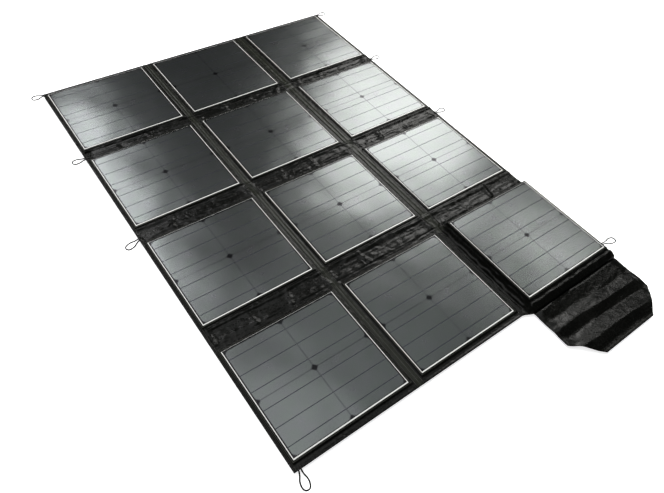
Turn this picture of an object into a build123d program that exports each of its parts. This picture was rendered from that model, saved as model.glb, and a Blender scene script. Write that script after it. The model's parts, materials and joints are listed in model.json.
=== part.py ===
"""Folding solar blanket: twelve fabric-sleeved panels in three columns and
four rows, joined by fabric folds, with a cable pouch and a closing flap.

Millimetres. X runs from column 1 to column 3, Y from the flap to the back
row, Z up. Row 1 is the back row, row 4 the front one. The blanket lies open
on the floor (z = 0); the last panel (row 4, column 3) stands RAISE higher, on
its cable pouch.

How it closes:
  columns  column 1 folds over onto column 2, then both fold under column 3
  rows     the back row folds over onto the next, and the roll goes on to row 4
  flap     stands up at the front and lies over the closed stack
Each row fold is a flat spine between two fold lines, as wide as the stack it
has to go round, so the spines grow from the back to the front.
"""

from build123d import *
import os

os.makedirs("parts", exist_ok=True)

# ---------------------------------------------------------------- dimensions
CELL = 156.0          # side of a solar cell
CELL_CUT = 9.0        # corner cut of a cell
CELL_SPACE = 3.0      # between two cells
CELL_T = 0.3
EDGE = 5.0            # laminate seen outside the cells
LIP = 6.0             # stitched frame around a window
HOLD = 3.0            # how far the frame reaches over the laminate
LIP_T = 0.6           # thickness of the part that reaches over
FABRIC = 1.0          # back sheet of a sleeve and the fold fabric
PANEL_T = 4.5         # a sleeved panel over its frame

HEM_SIDE = 14.0       # window to outer edge
HEM_BACK = 14.0
HEM_FRONT = 24.0
COLUMN_GAPS = (44.0, 55.0)   # window to window, columns 1-2 and 2-3

RAISE = 20.0          # height of the cable pouch under the last panel
FLAP_LENGTH = 232.0   # from the window's front edge
FLAP_CHAMFER = 74.0
CLEAR = 0.4           # between two layers of the closed stack
SLACK = 0.3
FOLD_CUT = 0.6        # fold line to the edge of the sheet beside it
SIDE_CUT = 0.3        # the same for a column fold

CORD = 3.0            # loop cord
POUCH_WALL = 1.0
POUCH_INSET = 12.0    # window edge to the pouch's outside
BOX = (118.0, 78.0)   # junction box, X and Y
BOX_WALL = 2.4
BOX_LID = 2.0
PORT_D = 11.0         # capped output port in the box's side

# ------------------------------------------------------------------- derived
WINDOW = 2 * CELL + CELL_SPACE + 2 * EDGE
FRAME = WINDOW + 2 * LIP
BOARD = WINDOW + 2 * HOLD
UNDER = FABRIC / 2                 # fold plane to the underside
TOP = PANEL_T - UNDER              # fold plane to the top of a frame
BOARD_TOP = PANEL_T - LIP_T        # from the underside

LIFT = TOP + CLEAR / 2             # fold 1-2: axis above the fold plane
DROP = UNDER + CLEAR / 2           # fold 2-3: axis below the fold plane
DEPTH = 2 * DROP + 2 * LIFT + UNDER   # reach of the folded columns below it

SPINE_2 = RAISE + 2 * TOP + CLEAR + 2 * SLACK       # rows 2-3
SPINE_1 = SPINE_2 - (DEPTH + CLEAR + TOP) - SLACK   # rows 1-2
SPINE_3 = SPINE_2 + DEPTH + CLEAR + RAISE + TOP + SLACK   # rows 3-4
SPINES = (SPINE_1, SPINE_2, SPINE_3)

NEAR = LIP + 2.0                   # smallest window-to-fold distance
NEST = DEPTH + 2 * UNDER + CLEAR   # one spine stands this far inside another
BEHIND = (18.0, NEAR, NEAR)        # fold line to the window of the row behind
BEFORE_1 = BEHIND[0] + HEM_BACK - BEHIND[1] + 2.0
BEFORE_2 = BEFORE_1 + BEHIND[1] - BEHIND[2] + NEST
BEFORE_3 = 20.0
BEFORE = (BEFORE_1, BEFORE_2, BEFORE_3)   # window of the row before to fold line

APRON = BEHIND[2] + BEFORE_2 + DEPTH + 2 * UNDER + CLEAR + SLACK - BEFORE_3
FLAP_WEB = SPINE_3 + DEPTH + UNDER + CLEAR + SLACK
FLAP_COVER = FLAP_LENGTH - APRON - FLAP_WEB

WIDTH = 2 * HEM_SIDE + 3 * WINDOW + sum(COLUMN_GAPS)
ROW_GAPS = [BEFORE[k] + SPINES[k] + BEHIND[k] for k in range(3)]
LENGTH = FLAP_LENGTH + 4 * WINDOW + sum(ROW_GAPS) + HEM_BACK

# left edge of each column's window and front edge of each row's window
X0 = [-WIDTH / 2 + HEM_SIDE]
for gap in COLUMN_GAPS:
    X0.append(X0[-1] + WINDOW + gap)
Y0 = [0.0, 0.0, 0.0, -LENGTH / 2 + FLAP_LENGTH]
for row in (2, 1, 0):
    Y0[row] = Y0[row + 1] + WINDOW + ROW_GAPS[row]

# column fold lines (x) and row fold lines (y): near and far side of a spine
FOLD_X = [X0[c] + WINDOW + COLUMN_GAPS[c] / 2 for c in range(2)]
FOLD_NEAR = [Y0[k + 1] + WINDOW + BEFORE[k] for k in range(3)]
FOLD_FAR = [FOLD_NEAR[k] + SPINES[k] for k in range(3)]
FLAP_FOLD = Y0[3] - APRON
WRAP_FOLD = FLAP_FOLD - FLAP_WEB


def block(x0, x1, y0, y1, z0, z1):
    """A box from its two corners."""
    return Pos(x0, y0, z0) * Box(
        x1 - x0, y1 - y0, z1 - z0, align=(Align.MIN, Align.MIN, Align.MIN)
    )


def sheet_x(column):
    """The two X edges of a column's fabric."""
    left = -WIDTH / 2 if column == 0 else FOLD_X[column - 1] + SIDE_CUT
    right = WIDTH / 2 if column == 2 else FOLD_X[column] - SIDE_CUT
    return left, right


def sheet_y(row):
    """The two Y edges of a row's fabric."""
    front = Y0[3] - HEM_FRONT if row == 3 else FOLD_FAR[row] + FOLD_CUT
    back = Y0[0] + WINDOW + HEM_BACK if row == 0 else FOLD_NEAR[row - 1] - FOLD_CUT
    return front, back


def save(shape, name):
    export_step(shape, f"parts/{name}.step")


def frame_on(base, column, row, lift):
    """Adds the stitched frame around a window to a back sheet."""
    x, y = X0[column], Y0[row]
    z = lift + FABRIC
    wall = block(x - LIP, x + WINDOW + LIP, y - LIP, y + WINDOW + LIP, z, lift + PANEL_T)
    wall -= block(
        x - HOLD, x + WINDOW + HOLD, y - HOLD, y + WINDOW + HOLD, z, lift + BOARD_TOP
    )
    wall -= block(x, x + WINDOW, y, y + WINDOW, lift + BOARD_TOP, lift + PANEL_T)
    rim = wall.edges().group_by(Axis.Z)[-1]
    outside = [e for e in rim if e.length > FRAME - 1]
    wall = fillet(outside, 1.2)
    return base + wall


def level(x0, x1, y0, y1, z):
    """A flat rectangle at height z, for a loft."""
    return Pos((x0 + x1) / 2, (y0 + y1) / 2, z) * Rectangle(x1 - x0, y1 - y0)


def raised_sheet(column, row):
    """Back sheet of the last panel, with its skirt down to the fold lines."""
    left, right = sheet_x(column)
    back = FOLD_NEAR[2] - FOLD_CUT
    front = FLAP_FOLD + FOLD_CUT
    top = (X0[column] - LIP, right, Y0[row] - LIP, Y0[row] + WINDOW + LIP)
    outer = loft(
        [level(left, right, front, back, FABRIC), level(*top, RAISE + FABRIC)]
    )
    outer += block(left, right, front, back, 0, FABRIC)
    foot = 2.5
    inner = loft(
        [
            level(left + foot, right - FABRIC, front + foot, back - foot, -0.1),
            level(top[0], right - FABRIC, top[2], top[3], RAISE),
        ]
    )
    return outer - inner


# -------------------------------------------------------------------- panels
for row in range(4):
    for column in range(3):
        tag = f"r{row + 1}c{column + 1}"
        raised = row == 3 and column == 2
        lift = RAISE if raised else 0.0
        if raised:
            base = raised_sheet(column, row)
        else:
            base = block(*sheet_x(column), *sheet_y(row), 0, FABRIC)
        save(frame_on(base, column, row, lift), f"sleeve_{tag}")

        # laminate board with four shallow seats, and the cells in them
        cx, cy = X0[column] + WINDOW / 2, Y0[row] + WINDOW / 2
        outline = Polygon(
            *[
                (sx * (CELL / 2 - a), sy * (CELL / 2 - b))
                for sx, sy, a, b in (
                    (1, 1, CELL_CUT, 0),
                    (1, 1, 0, CELL_CUT),
                    (1, -1, 0, CELL_CUT),
                    (1, -1, CELL_CUT, 0),
                    (-1, -1, CELL_CUT, 0),
                    (-1, -1, 0, CELL_CUT),
                    (-1, 1, 0, CELL_CUT),
                    (-1, 1, CELL_CUT, 0),
                )
            ]
        )
        pitch = (CELL + CELL_SPACE) / 2
        seat = lift + BOARD_TOP - CELL_T
        cells = [
            Pos(cx + i * pitch, cy + j * pitch, seat) * extrude(outline, CELL_T, dir=(0, 0, 1))
            for i in (-1, 1)
            for j in (-1, 1)
        ]
        board = block(
            cx - BOARD / 2,
            cx + BOARD / 2,
            cy - BOARD / 2,
            cy + BOARD / 2,
            lift + FABRIC,
            lift + BOARD_TOP,
        )
        for cell in cells:
            board -= cell
        save(board, f"laminate_{tag}")
        save(Compound(cells), f"cells_{tag}")

# --------------------------------------------------------- spines of the rows
for k in range(3):
    for column in range(3):
        spine = block(
            *sheet_x(column),
            FOLD_NEAR[k] + FOLD_CUT,
            FOLD_FAR[k] - FOLD_CUT,
            0,
            FABRIC,
        )
        save(spine, f"spine_{k + 1}{k + 2}_c{column + 1}")

# ---------------------------------------------------------------------- flap
flap_left, flap_right = sheet_x(2)
flap_left = X0[2] - HEM_SIDE
save(
    block(
        flap_left, flap_right, WRAP_FOLD + FOLD_CUT, FLAP_FOLD - FOLD_CUT, 0, FABRIC
    ),
    "flap_web",
)
tip = WRAP_FOLD - FLAP_COVER
near = WRAP_FOLD - FOLD_CUT
cover = Polygon(
    (flap_left, near),
    (flap_left, tip + FLAP_CHAMFER),
    (flap_left + FLAP_CHAMFER, tip),
    (flap_right - FLAP_CHAMFER, tip),
    (flap_right, tip + FLAP_CHAMFER),
    (flap_right, near),
    align=None,
)
save(extrude(cover, FABRIC), "flap_cover")


# --------------------------------------------------------------------- loops
def loop(x, y, heading, reach, width):
    """A cord loop lying on the hem: two ends sewn down, one round bow.

    (x, y) is the middle of its ends, heading the direction of the bow.
    """
    turn = Pos(x, y, FABRIC + CORD / 2) * Rot(0, 0, heading)
    half, neck = width / 2, 2.6
    points = [
        (0, neck),
        (reach * 0.30, neck),
        (reach * 0.62, half),
        (reach, half * 0.72),
        (reach, -half * 0.72),
        (reach * 0.62, -half),
        (reach * 0.30, -neck),
        (0, -neck),
    ]
    bend = half * 0.52
    print(f"loop {reach:.0f} x {width:.0f}: bends {bend:.1f} mm, cord {CORD:.1f} mm")
    path = FilletPolyline(*points, radius=bend)
    section = Plane(origin=(0, neck, 0), z_dir=(1, 0, 0)) * Circle(CORD / 2)
    return turn * sweep(section, path=path)


SEWN = 8.0   # length of each end on the hem
left_x, right_x = -WIDTH / 2 + SEWN, WIDTH / 2 - SEWN
back_y = Y0[0] + WINDOW + HEM_BACK - 9.0
front_y = Y0[3] - HEM_FRONT + SEWN
side_y = [FOLD_NEAR[k] - 10.0 for k in range(2)]
save(loop(left_x, back_y, 180, 44, 24), "loop_left_1")
save(loop(left_x, side_y[0], 180, 46, 22), "loop_left_2")
save(loop(left_x, side_y[1], 200, 52, 22), "loop_left_3")
save(loop(left_x + 8, front_y, 258, 56, 22), "loop_left_4")
save(loop(right_x, back_y, 0, 44, 24), "loop_right_1")
save(loop(right_x, side_y[0], 0, 46, 22), "loop_right_2")
save(loop(right_x, side_y[1], 0, 46, 22), "loop_right_3")
corner = Pos(0, 0, RAISE) * loop(right_x + 1, Y0[3] + 12.0, -12, 48, 22)
save(corner, "loop_right_4")

# ------------------------------------- cable pouch and junction box (row 4, c3)
px0, px1 = X0[2] + POUCH_INSET, X0[2] + WINDOW - POUCH_INSET
py0, py1 = Y0[3] + POUCH_INSET, Y0[3] + WINDOW - POUCH_INSET
pouch = block(px0, px1, py0, py1, 0, RAISE)
pouch = fillet(pouch.edges().filter_by(Axis.Z), 18)
pouch -= fillet(
    block(
        px0 + POUCH_WALL,
        px1 - POUCH_WALL,
        py0 + POUCH_WALL,
        py1 - POUCH_WALL,
        FABRIC,
        RAISE,
    )
    .edges()
    .filter_by(Axis.Z),
    17,
)
save(pouch, "pouch")

bx = px1 - 40.0 - BOX[0] / 2
by = Y0[3] + WINDOW * 0.62
FLOOR = (Align.CENTER, Align.CENTER, Align.MIN)


def rounded(length, width, height, z, radius):
    """A box centred on the junction box with rounded upright edges."""
    plain = Box(length, width, height, align=FLOOR)
    return Pos(bx, by, z) * fillet(plain.edges().filter_by(Axis.Z), radius)


body_z = FABRIC + BOX_LID
body = rounded(*BOX, RAISE - body_z, body_z, 6)
body -= rounded(
    BOX[0] - 2 * BOX_WALL, BOX[1] - 2 * BOX_WALL, RAISE - body_z - BOX_WALL, body_z, 3.6
)
port_z = body_z + (RAISE - body_z) / 2
port = Pos(bx + BOX[0] / 2, by, port_z) * Rot(0, 90, 0)
body -= port * Cylinder(PORT_D / 2, 3 * BOX_WALL)
save(body, "junction_box")

lid = rounded(*BOX, BOX_LID, FABRIC, 6)
save(lid, "junction_box_lid")

# output port: a shank through the wall, a collar and a push-on cap outside
shank = Pos(0, 0, -5) * Cylinder(PORT_D / 2, 8, align=FLOOR)
shank += Cylinder(PORT_D / 2 + 2, 3, align=FLOOR)
save(port * shank, "output_port")
cap = Pos(0, 0, 3) * Cylinder(PORT_D / 2 + 1, 9, align=FLOOR)
cap = fillet(cap.edges().group_by(Axis.Z)[-1], 1.2)
save(port * cap, "output_port_cap")
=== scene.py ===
"""Folding solar blanket: the visible pieces and finishes around the fixed frame.

Twelve panels in sewn nylon sleeves lie open on the floor. The fabric between
them is one cloth, cut here at the fold lines, so every piece takes its height
from the same function, cloth_top, and neighbours meet without a step. The
flap has its own, flap_top.
Metres. X runs over the columns, Y from the flap to the back row, Z up.
"""

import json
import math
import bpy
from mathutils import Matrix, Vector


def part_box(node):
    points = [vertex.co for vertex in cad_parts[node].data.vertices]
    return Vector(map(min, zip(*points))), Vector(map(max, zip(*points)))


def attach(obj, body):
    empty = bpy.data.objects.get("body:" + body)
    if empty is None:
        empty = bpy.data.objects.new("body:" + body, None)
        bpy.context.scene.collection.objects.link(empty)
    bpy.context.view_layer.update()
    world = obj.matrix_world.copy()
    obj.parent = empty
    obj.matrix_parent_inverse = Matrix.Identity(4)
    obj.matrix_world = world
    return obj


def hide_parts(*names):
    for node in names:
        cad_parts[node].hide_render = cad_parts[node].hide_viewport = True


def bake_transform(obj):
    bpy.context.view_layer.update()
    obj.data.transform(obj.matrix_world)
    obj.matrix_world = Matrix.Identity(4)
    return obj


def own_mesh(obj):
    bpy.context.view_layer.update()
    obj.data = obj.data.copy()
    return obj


bl_info = {
    "name": "Folding Solar Blanket",
    "version": (1, 0, 0),
    "blender": (4, 5, 0),
    "location": "View3D > Sidebar > Blanket",
    "description": "Models the sleeves, folds, flap and loops of a solar blanket",
    "category": "Object",
}

import bpy
import numpy as np
from mathutils import Matrix, Vector, noise

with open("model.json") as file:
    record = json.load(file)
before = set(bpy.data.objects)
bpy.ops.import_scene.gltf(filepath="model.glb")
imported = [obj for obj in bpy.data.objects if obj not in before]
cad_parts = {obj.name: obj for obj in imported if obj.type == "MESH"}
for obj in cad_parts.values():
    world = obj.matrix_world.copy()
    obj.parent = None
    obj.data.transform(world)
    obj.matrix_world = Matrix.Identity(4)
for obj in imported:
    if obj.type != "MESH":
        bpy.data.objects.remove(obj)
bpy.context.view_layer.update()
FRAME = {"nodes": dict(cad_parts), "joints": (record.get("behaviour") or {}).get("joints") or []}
NODES = FRAME["nodes"]
JOINTS = {joint["name"]: joint for joint in FRAME["joints"]}

# ------------------------------------------------------------------ the layout
MM = 0.001
ROWS = (1, 2, 3, 4)  # back to front
COLUMNS = (1, 2, 3)  # left to right
HOLD = 3 * MM  # how far a sleeve's lip reaches over the laminate
LIP = 8 * MM  # window edge to the foot of the lip
FLOOR_GAP = 12 * MM  # the columns fold under the root panel, down to 11 mm


def joint_place(name):
    """A joint's place in the open blanket."""
    return Vector(JOINTS[name]["pos_m"])


def window_of(row, column):
    """The seen face of a panel: its x and y limits and the height of its top."""
    low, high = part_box(f"laminate_r{row}c{column}")
    return low.x + HOLD, high.x - HOLD, low.y + HOLD, high.y - HOLD, high.z


WINDOWS = {(r, c): window_of(r, c) for r in ROWS for c in COLUMNS}
WINDOW_X = [WINDOWS[1, c][:2] for c in COLUMNS]
WINDOW_Y = [WINDOWS[r, 1][2:4] for r in ROWS]
FACE = WINDOWS[1, 1][4]
RAISE = WINDOWS[4, 3][4] - FACE
LEFT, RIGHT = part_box("sleeve_r1c1")[0].x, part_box("sleeve_r1c3")[1].x
BACK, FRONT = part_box("sleeve_r1c1")[1].y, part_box("sleeve_r4c1")[0].y
FOLD_X = [joint_place("column_12").x, joint_place("column_23").x]
ROW_FOLDS = ("12", "23", "34")
FOLD_NEAR = [joint_place(f"row_{k}").y for k in ROW_FOLDS]
FOLD_FAR = [joint_place(f"row_{k}_far").y for k in ROW_FOLDS]
FLAP_FOLD, WRAP_FOLD = joint_place("flap").y, joint_place("flap_far").y
FLAP_LEFT, FLAP_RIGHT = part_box("flap_cover")[0].x, RIGHT
FLAP_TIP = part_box("flap_cover")[0].y
RAISED = WINDOWS[4, 3]
CLOTH_X = [  # x limits of the sleeves, and of the folds between them
    (LEFT, WINDOW_X[0][1] + LIP),
    (WINDOW_X[1][0] - LIP, WINDOW_X[1][1] + LIP),
    (WINDOW_X[2][0] - LIP, RIGHT),
]
CLOTH_Y = [  # y limits of the rows
    (FOLD_FAR[0], BACK),
    (FOLD_FAR[1], FOLD_NEAR[0]),
    (FOLD_FAR[2], FOLD_NEAR[1]),
    (FRONT, FOLD_NEAR[2]),
]

# heights of the lip over the floor, by distance out from the window's edge
LIP_STEPS = [d * MM for d in (-0.3, 0.3, 1.2, 3.4, 4.0, 4.6, 5.6, 6.8, 8.0, 9.5, 11.0)]
LIP_TOPS = [z * MM for z in (3.75, 4.3, 4.5, 4.45, 4.2, 4.42, 4.1, 2.9, 1.7, 1.2, 1.0)]
LIP_SEAM = 4.0 * MM
# the flap's waves in mm: distance from its fold, height over the floor
FLAP_WAVES = [
    (0, 1.2), (4, 8.5), (25, 5.0), (46, 1.2), (62, 6.0), (78, 11.0), (92, 6.0),
    (108, 1.4), (130, 7.0), (150, 11.5), (162, 7.5), (178, 2.0), (188, 1.4), (195, 1.2),
]
FLAP_STEPS, FLAP_TOPS = ([value * MM for value in side] for side in zip(*FLAP_WAVES))
FLAP_CHAMFER = 74 * MM
FLAP_VALLEY = 108 * MM  # from the flap's fold to the low line between its waves
CHANNELS = (0.2, 0.5, 0.8)  # stitched lines across a column fold
HEM_STEPS = [d * MM for d in (0.4, 1.2, 3.2, 5.2)]  # grid lines in from an edge
POUCH_STEPS = [d * MM for d in (0.15, 0.4, 0.9, 1.8, 3.0, 5.2)]
FRONT_LEFT = Vector((WINDOW_X[0][0], WINDOW_Y[3][0], 0.0))  # corner of the panels


# ------------------------------------------------------------------ properties
def size(name, description, default, low, high):
    return bpy.props.FloatProperty(
        name=name,
        description=description,
        default=default,
        min=low,
        max=high,
        subtype="DISTANCE",
        unit="LENGTH",
    )


def colour(name, description, default):
    return bpy.props.FloatVectorProperty(
        name=name,
        description=description,
        default=default,
        size=3,
        min=0.0,
        max=1.0,
        subtype="COLOR",
    )


class BlanketSizes(bpy.types.PropertyGroup):
    """Sizes of the soft parts."""

    cloth: size("Cloth", "Thickness of the sleeve fabric", 1.0 * MM, 0.0003, 0.003)
    pucker: size("Pucker", "Height of the puckers in the row folds", 4.2 * MM, 0.0, 0.006)
    bulge: size("Bulge", "Height of the tubes in the column folds", 1.5 * MM, 0.0, 0.004)
    slack: size("Slack", "Height of the slack folds at the pouch", 3.2 * MM, 0.0, 0.006)
    hem: size("Hem", "Height of the rolled hem", 1.1 * MM, 0.0, 0.003)
    cord: size("Cord", "Diameter of the loop cord", 3.8 * MM, 0.001, 0.006)
    grain: size("Grid", "Spacing of the cloth's grid lines", 5.0 * MM, 0.002, 0.02)


class BlanketColours(bpy.types.PropertyGroup):
    """Colours of the finishes."""

    nylon: colour("Nylon", "Woven sleeve fabric", (0.0017, 0.0018, 0.0015))
    # painted sheen: a lighter strip down the middle of each column fold, in place of the
    # fabric's sheen there
    painted_fold_sheen: colour("Painted_fold_sheen", "Tape down the middle of a column fold", (0.010, 0.011, 0.008))
    thread: colour("Thread", "Sewing thread", (0.035, 0.036, 0.030))
    cell: colour("Cell", "Silicon under the film", (0.060, 0.064, 0.062))
    busbar: colour("Busbar", "Lines across the cells", (0.017, 0.018, 0.024))
    gap: colour("Gap", "Board between the cells", (0.036, 0.038, 0.040))
    board: colour("Board", "Board where no cell covers it", (0.006, 0.006, 0.007))
    border: colour("Border", "Line around the panel face", (0.66, 0.66, 0.64))
    cord: colour("Cord", "Loop cord", (0.0025, 0.0025, 0.0025))
    plastic: colour("Plastic", "Junction box and port", (0.02, 0.02, 0.022))
    floor: colour("Floor", "Studio floor", (0.86, 0.86, 0.86))


# --------------------------------------------------------------- cloth heights
def smooth(value):
    """0 below 0, 1 above 1, and an S between."""
    t = min(1.0, max(0.0, value))
    return t * t * (3 - 2 * t)


def bump(value, middle, width):
    """A round ridge of height 1."""
    return math.exp(-(((value - middle) / width) ** 2))


def grain(x, y, x_scale, y_scale, seed):
    """Smooth noise, about -1 to 1, with its own scale each way."""
    return noise.noise(Vector((x / x_scale, y / y_scale, seed)))


def outside(value, limits):
    """How far a value lies outside the nearest of some limits, and which."""
    gaps = [max(low - value, value - high) for low, high in limits]
    nearest = min(range(len(gaps)), key=gaps.__getitem__)
    return gaps[nearest], nearest


def between(value, limits):
    """The number of the gap that a value lies in, and its share of the way over."""
    ordered = sorted(limits)
    for k in range(len(ordered) - 1):
        low, high = ordered[k][1] + 6 * MM, ordered[k + 1][0] - 6 * MM
        if low - 8 * MM <= value <= high + 8 * MM:
            return k, min(1.0, max(0.0, (value - low) / (high - low)))
    return None, 0.0


def row_pucker(x, y):
    """Gathered cloth of a row fold, 0 to about 1."""
    gap, v = between(y, WINDOW_Y)
    if gap is None:
        return 0.0
    sway = 0.06 * grain(x, gap, 0.11, 1.0, 3.1)
    ridges = 0.85 * bump(v, 0.86 + 0.5 * sway, 0.09)
    uneven = 0.75 + 0.5 * grain(x, y, 0.05, 0.2, 8.0)
    ridges += 0.55 * bump(v, 0.27 + sway, 0.12) * uneven
    for column, (low, high) in enumerate(WINDOW_X):
        for number, share in enumerate((0.0, 0.31, 0.64, 0.98)):
            seed = gap * 7.3 + column * 2.9 + number * 1.7
            middle = low + (high - low) * (share + 0.05 * math.sin(seed * 4.1))
            slant = 0.5 * math.sin(seed * 2.3)
            offset = x - middle - slant * (v - 0.5) * 0.04
            tall = 0.55 + 0.35 * math.sin(seed * 5.7)
            wide = (6 + 3 * math.sin(seed)) * MM
            arch = math.sin(math.pi * v)
            ridges += tall * bump(offset, 0, wide) * arch**0.7
            ridges -= 0.35 * bump(offset, 12 * MM, 6 * MM) * arch
    ridges += 0.34 * grain(x, y, 0.022, 0.012, 5.0 + gap)
    ridges += 0.34 * grain(x + 0.6 * y, y, 0.06, 0.008, 15.0 + gap)
    crease = min(abs(y - line) for line in FOLD_NEAR + FOLD_FAR)
    return max(-0.3, min(1.25, ridges)) * (0.3 + 0.7 * smooth(crease / (5 * MM)))


def column_tubes(x, y):
    """Tubes between the stitched lines of a column fold, 0 to 1."""
    gap, u = between(x, WINDOW_X)
    if gap is None:
        return 0.0
    edges = (0.0,) + CHANNELS + (1.0,)
    for low, high in zip(edges, edges[1:]):
        if low <= u <= high:
            share = (u - low) / (high - low)
            tube = math.sin(math.pi * share) ** 0.6 if 0 < share < 1 else 0.0
            inner = 1.0 if low > 0 and high < 1 else 0.6
            return inner * tube * (0.85 + 0.4 * grain(u, y, 0.4, 0.035, gap + 31.0))
    return 0.0


def pouch_lift(x, y):
    """Share of the pouch's height that the cloth has, with sloped sides."""
    x0, x1, y0, y1, _ = RAISED
    rim = 6 * MM
    runs = (
        (x0 - rim - x, x0 - rim - FOLD_X[1]),
        (x - x1 - rim, RIGHT - x1 - rim + 0.6 * MM),
        (y0 - rim - y, y0 - rim - FLAP_FOLD),
        (y - y1 - rim, FOLD_NEAR[2] - y1 - rim),
    )
    powers = (1.15, 0.28, 0.42, 1.1)
    shares = [
        (1 - min(1.0, max(0.0, out / run))) ** power
        for (out, run), power in zip(runs, powers)
    ]
    return min(shares)


def pouch_slack(x, y):
    """Slack folds that run along the raised panel's left side, 0 to 1."""
    x0, _, y0, y1, _ = RAISED
    low, high = WINDOW_X[1][1] + LIP, x0 - 6 * MM
    if not (low < x < high and y < y1 + 10 * MM):
        return 0.0
    u = (x - low) / (high - low)
    sway = 0.16 * grain(y, 0.0, 0.07, 1.0, 51.0) + 0.05 * grain(y, 0.0, 0.02, 1.0, 57.0)
    folds = bump(u, 0.24 + sway, 0.10) + 0.9 * bump(u, 0.56 + 1.3 * sway, 0.08)
    folds += 0.6 * bump(u, 0.83 + 0.6 * sway, 0.06)
    folds *= 0.55 + 0.75 * abs(grain(u, y, 0.6, 0.055, 43.0))
    folds += 0.5 * grain(x + 0.25 * y, y, 0.012, 0.05, 61.0)
    ends = smooth((y - FRONT) / (20 * MM)) * math.sin(math.pi * min(1.0, max(0.0, u))) ** 0.5
    return max(-0.2, min(1.2, folds)) * ends


def cloth_top(x, y):
    """Height of the open blanket's fabric over the floor."""
    sizes = bpy.context.scene.blanket_sizes
    dx, column = outside(x, WINDOW_X)
    dy, row = outside(y, WINDOW_Y)
    away = max(dx, dy)
    z = float(np.interp(away, LIP_STEPS, LIP_TOPS))
    clear = smooth((away - 7.5 * MM) / (5 * MM))
    if clear > 0:
        over_x, over_y = smooth(dx / (14 * MM)), smooth(dy / (14 * MM))
        beside_pouch = column == 2 and row == 3
        pucker = sizes.pucker * row_pucker(x, y) * over_y * (1 - 0.25 * over_x)
        tubes = sizes.bulge * column_tubes(x, y) * over_x * (1 - 0.8 * over_y)
        star = 0.9 * MM * grain(x, y, 0.012, 0.012, 77.0) * over_x * over_y
        slack = 0.0
        if y < RAISED[3] + 10 * MM and x > WINDOW_X[1][1]:
            slack = sizes.slack * pouch_slack(x, y)
            tubes *= 0.2
        if beside_pouch and y < RAISED[2]:
            t = (RAISED[2] - y) / (RAISED[2] - FLAP_FOLD)
            waves = grain(x, y, 0.03, 0.012, 91.0)
            slack += 1.6 * MM * math.sin(math.pi * min(1.0, t)) * waves
            front = RAISED[2] - y
            slack += 2.5 * MM * bump(front, 21 * MM, 6 * MM)
            slack -= 3.5 * MM * bump(front, 10 * MM, 4 * MM)
        z += clear * (pucker + tubes + star + slack)
    side = min(x - LEFT, RIGHT - x, BACK - y)
    if x < WINDOW_X[1][1] + LIP:
        side = min(side, y - FRONT)
    if 0 <= side < 7 * MM:
        roll = math.sqrt(max(0.0, 1 - ((side - 3.2 * MM) / (3.4 * MM)) ** 2))
        z += sizes.hem * roll * clear
        z -= 0.5 * MM * bump(side, 7 * MM, 1 * MM) * clear
    z = max(z, 0.7 * MM)
    lift = pouch_lift(x, y)
    if lift > 0:
        z += RAISE * lift
    return z


def cloth_under(x, y):
    """Height of the fabric's lower side: flat under the boards, loose between."""
    dx, _ = outside(x, WINDOW_X)
    dy, _ = outside(y, WINDOW_Y)
    loose = smooth((max(dx, dy) - 9 * MM) / (8 * MM))
    if pouch_lift(x, y) > 0:
        loose = 0.0
    ripple = 0.12 * MM * (1 + grain(x, y, 0.05, 0.05, 23.0))
    thick = bpy.context.scene.blanket_sizes.cloth
    return ripple + loose * 0.6 * max(0.0, cloth_top(x, y) - 1.3 * thick)


def flap_top(x, y):
    """Height of the loose flap in front of the raised panel."""
    s = FLAP_FOLD - y
    u = (x - FLAP_LEFT) / (FLAP_RIGHT - FLAP_LEFT)
    shift = 9 * MM * grain(x, s, 0.12, 0.3, 2.0) + 16 * MM * (u - 0.5) * smooth(s / 0.05)
    fade = smooth(s / 0.012) * smooth((FLAP_FOLD - FLAP_TIP - s) / 0.012)
    z = float(np.interp(s - shift * fade, FLAP_STEPS, FLAP_TOPS))
    lump = 1.9 * MM * grain(x, y, 0.07, 0.025, 12.0)
    lump += 0.7 * MM * grain(x + 0.4 * y, y, 0.03, 0.014, 18.0)
    lump *= 0.3 + 0.7 * smooth((s - 30 * MM) / (20 * MM))
    edge = bump(u, 0.03, 0.07) + bump(u, 0.97, 0.07)
    lump += 3.0 * MM * edge * grain(x, y, 0.018, 0.02, 29.0)
    rim = min(x - FLAP_LEFT, FLAP_RIGHT - x, y - FLAP_TIP)
    z += lump * fade
    z = max(1.2 * MM, z * (0.35 + 0.65 * smooth(rim / (26 * MM))))
    return z + 0.8 * MM * bump(rim, 2.5 * MM, 2.5 * MM) * fade


def flap_under(x, y):
    """Height of the flap's lower side, one cloth below its top."""
    return max(0.05 * MM, 0.97 * (flap_top(x, y) - 1.2 * MM))


# ---------------------------------------------------------------- stitch lines
def seam_at(x, y):
    """Distance to the nearest stitched line, and the place along it."""
    dx, _ = outside(x, WINDOW_X)
    dy, _ = outside(y, WINDOW_Y)
    found = [(abs(max(dx, dy) - LIP_SEAM), y if dx > dy else x)]
    gap, u = between(x, WINDOW_X)
    if gap is not None and dx > 0 and not (y < RAISED[3] and gap == 1):
        wide = WINDOW_X[gap + 1][0] - WINDOW_X[gap][1] - 12 * MM
        found += [(abs(u - line) * wide, y) for line in CHANNELS]
    found.append((abs(min(x - LEFT, RIGHT - x) - 7 * MM), y))
    found.append((abs(BACK - y - 7 * MM), x))
    return min(found)


def painted_sheen_at(x, y):
    """1 on the painted sheen strip down the middle of a column fold, 0 off it."""
    gap, u = between(x, WINDOW_X)
    if gap is None or (gap == 1 and y < RAISED[3]):
        return 0.0
    return smooth((0.24 - abs(u - 0.5)) / 0.05 + 0.5)


def flap_seam_at(x, y):
    """The same for the flap: a line inside its edge."""
    found = [(abs(min(x - FLAP_LEFT, FLAP_RIGHT - x) - 7 * MM), y)]
    found.append((abs(y - FLAP_TIP - 7 * MM), x))
    return min(found)


# ------------------------------------------------------------------- modelling
def set_mode(mode):
    bpy.ops.object.mode_set(mode=mode)


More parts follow.
